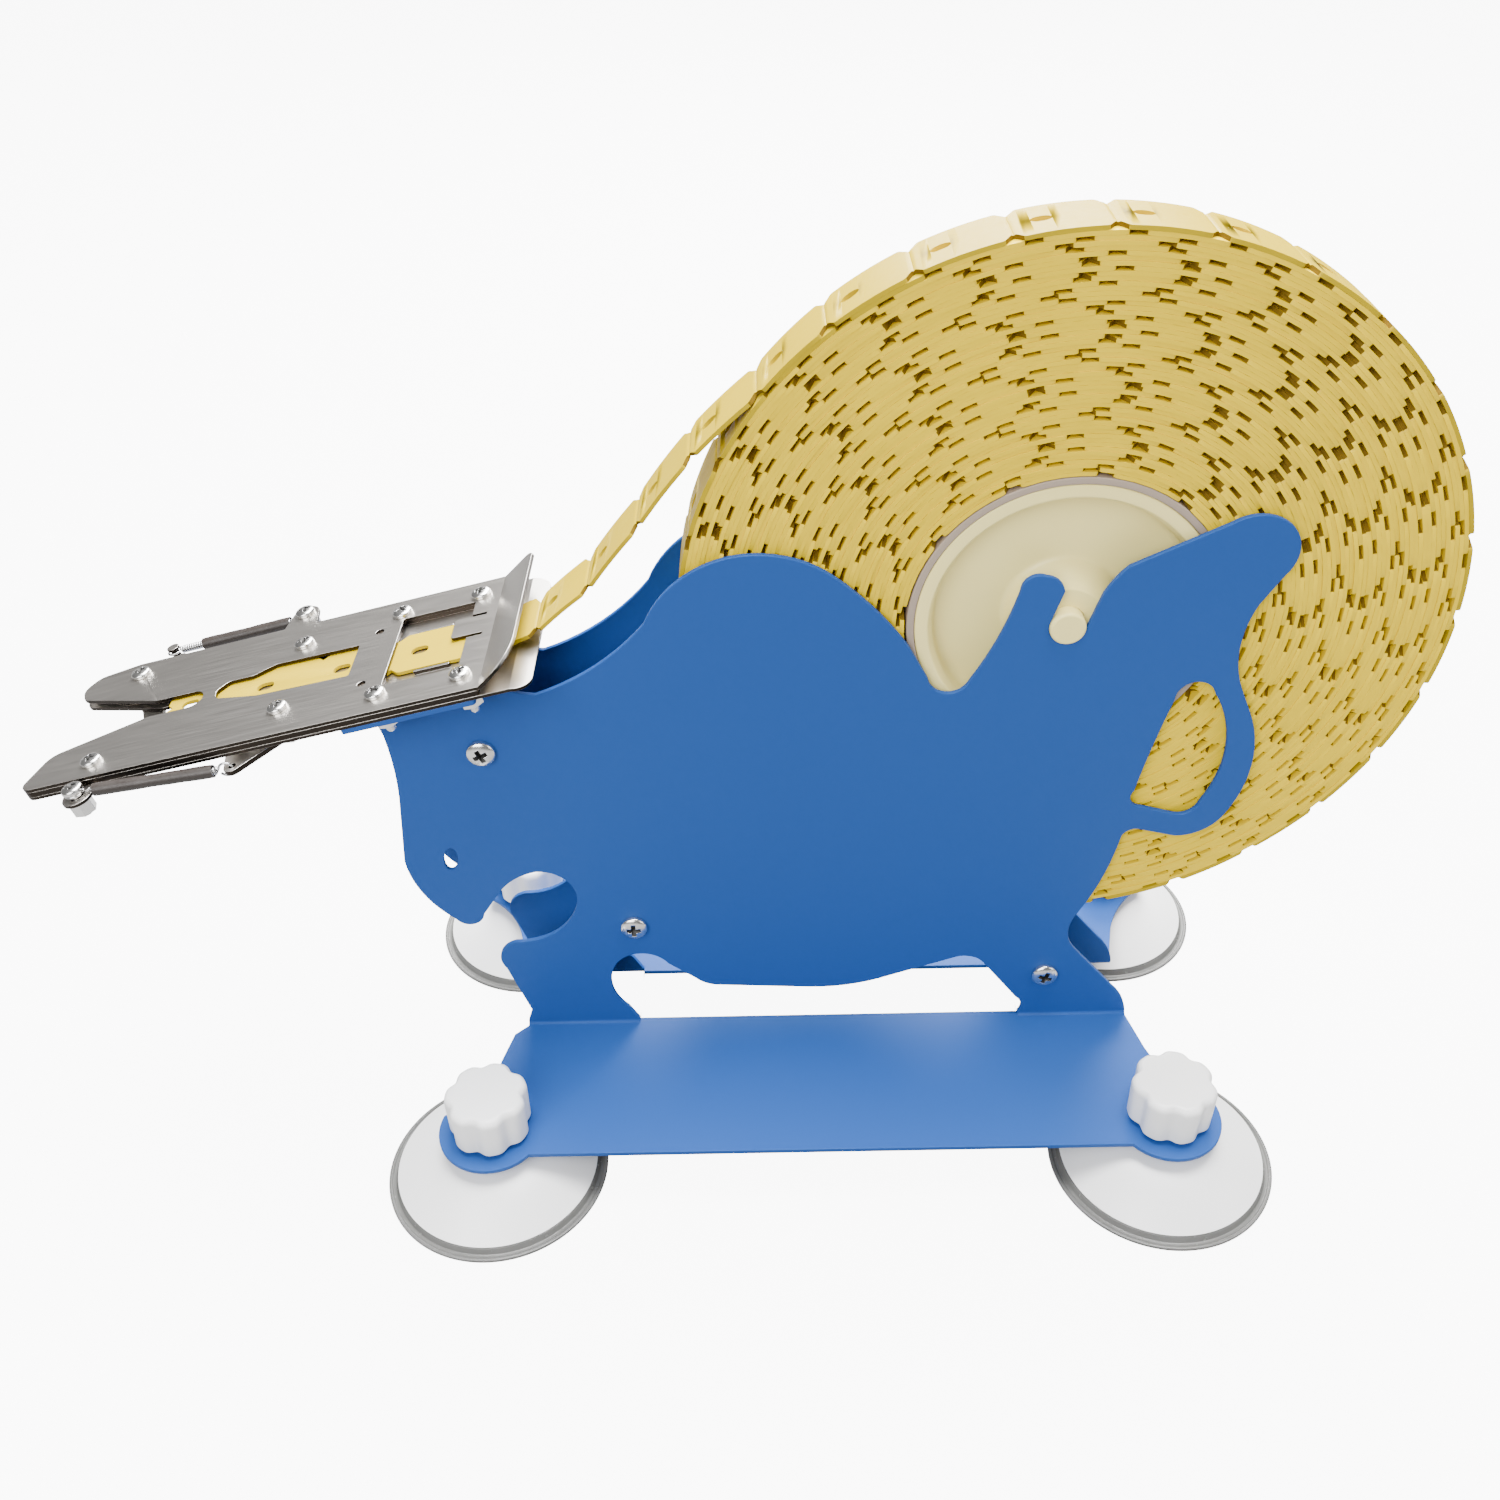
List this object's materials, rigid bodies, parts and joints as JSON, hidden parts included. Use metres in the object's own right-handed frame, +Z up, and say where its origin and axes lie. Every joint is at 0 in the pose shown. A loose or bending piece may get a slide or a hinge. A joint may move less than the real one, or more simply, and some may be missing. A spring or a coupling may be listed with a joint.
{
  "type": "bench-top bag-neck tie machine",
  "caption": "Bench-top bag-neck tie machine: bull-shaped sheet frame on suction feet, reel of linked plastic ties and a forked, sprung tying head.",
  "frame": {"origin": "centre of the footprint at bench level", "axes": "+X from the forked head to the reel, +Y to the far side, +Z up"},
  "size_m": [0.3738, 0.1696, 0.2622],
  "materials": {
    "painted_sheet": "satin blue powder coat",
    "zinc_fastener": "bright zinc",
    "head_steel": "fine brushed",
    "spring_steel": "bright wire",
    "sleeve_rubber": "matt",
    "white_plastic": "satin",
    "clear_rubber": "translucent grey",
    "hub_plastic": "cream",
    "core_board": "plain cardboard",
    "tie_plastic": "yellow film"
  },
  "bodies": {
    "frame": {"side_plate_near": "painted_sheet", "side_plate_far": "painted_sheet", "head_bracket": "painted_sheet", "spacer_tubes": "zinc_fastener", "frame_screws_near": "zinc_fastener", "frame_screws_far": "zinc_fastener", "foot_cup_shells": "white_plastic", "foot_cup_lips": "clear_rubber", "foot_studs": "zinc_fastener", "head_top_plate": "head_steel", "head_lower_plate": "head_steel", "channel_rail_near": "head_steel", "channel_rail_far": "head_steel", "bracket_clamp_screws": "zinc_fastener", "bracket_clamp_nuts": "zinc_fastener", "plate_clamp_screws": "zinc_fastener", "plate_clamp_nuts": "zinc_fastener", "gate_pivot_bush": "zinc_fastener", "gate_pivot_screw": "zinc_fastener", "gate_pivot_nut": "zinc_fastener", "index_pivot_bush": "zinc_fastener", "index_pivot_screw": "zinc_fastener", "index_pivot_nut": "zinc_fastener", "gate_spring_post": "zinc_fastener", "gate_spring_post_nut": "zinc_fastener", "index_spring_post": "zinc_fastener", "index_spring_post_nut": "zinc_fastener", "gate_spring": "spring_steel", "index_spring": "spring_steel", "gate_spring_sleeve": "sleeve_rubber", "index_spring_sleeve": "sleeve_rubber", "tie_strip_head": "tie_plastic", "tie_strip_span": "tie_plastic"},
    "axle": {"axle_rod": "hub_plastic"},
    "reel": {"hub_near": "hub_plastic", "hub_far": "hub_plastic", "roll_core": "core_board", "tie_roll": "tie_plastic"},
    "gate": {"gate_lever": "head_steel"},
    "index": {"index_lever": "head_steel"},
    "front_near_knob_body": {"front_near_knob": "white_plastic"},
    "front_far_knob_body": {"front_far_knob": "white_plastic"},
    "rear_near_knob_body": {"rear_near_knob": "white_plastic"},
    "rear_far_knob_body": {"rear_far_knob": "white_plastic"}
  },
  "joints": [
    {"name": "reel_lift", "type": "slide", "parent": "frame", "child": "axle", "axis": [0.289, 0, 0.9573], "range_m": [0, 0.016], "deforming": ["tie_strip_span"]},
    {"name": "reel_spin", "type": "hinge", "parent": "axle", "child": "reel", "pos_m": [0.08742, 0, 0.1627], "axis": [0, 1, 0], "continuous": true},
    {"name": "gate_swing", "type": "hinge", "parent": "frame", "child": "gate", "pos_m": [-0.16755, 0.0204, 0.12802], "axis": [-0.2385, 0, 0.9711], "range_deg": [0, 32], "stiffness_Nm_per_rad": 0.06, "springref_deg": -34.38, "deforming": ["gate_spring", "gate_spring_sleeve"]},
    {"name": "index_swing", "type": "hinge", "parent": "frame", "child": "index", "pos_m": [-0.11647, -0.0153, 0.13933], "axis": [-0.2385, 0, 0.9711], "range_deg": [0, 10], "stiffness_Nm_per_rad": 0.06, "springref_deg": -34.38, "deforming": ["index_spring", "index_spring_sleeve"]},
    {"name": "front_near_knob_turn", "type": "hinge", "parent": "frame", "child": "front_near_knob_body", "pos_m": [-0.07298, -0.052, 0.0268], "axis": [0, 0, 1], "continuous": true},
    {"name": "front_far_knob_turn", "type": "hinge", "parent": "frame", "child": "front_far_knob_body", "pos_m": [-0.07298, 0.052, 0.0268], "axis": [0, 0, 1], "continuous": true},
    {"name": "rear_near_knob_turn", "type": "hinge", "parent": "frame", "child": "rear_near_knob_body", "pos_m": [0.12522, -0.052, 0.0268], "axis": [0, 0, 1], "continuous": true},
    {"name": "rear_far_knob_turn", "type": "hinge", "parent": "frame", "child": "rear_far_knob_body", "pos_m": [0.12522, 0.052, 0.0268], "axis": [0, 0, 1], "continuous": true}
  ]
}
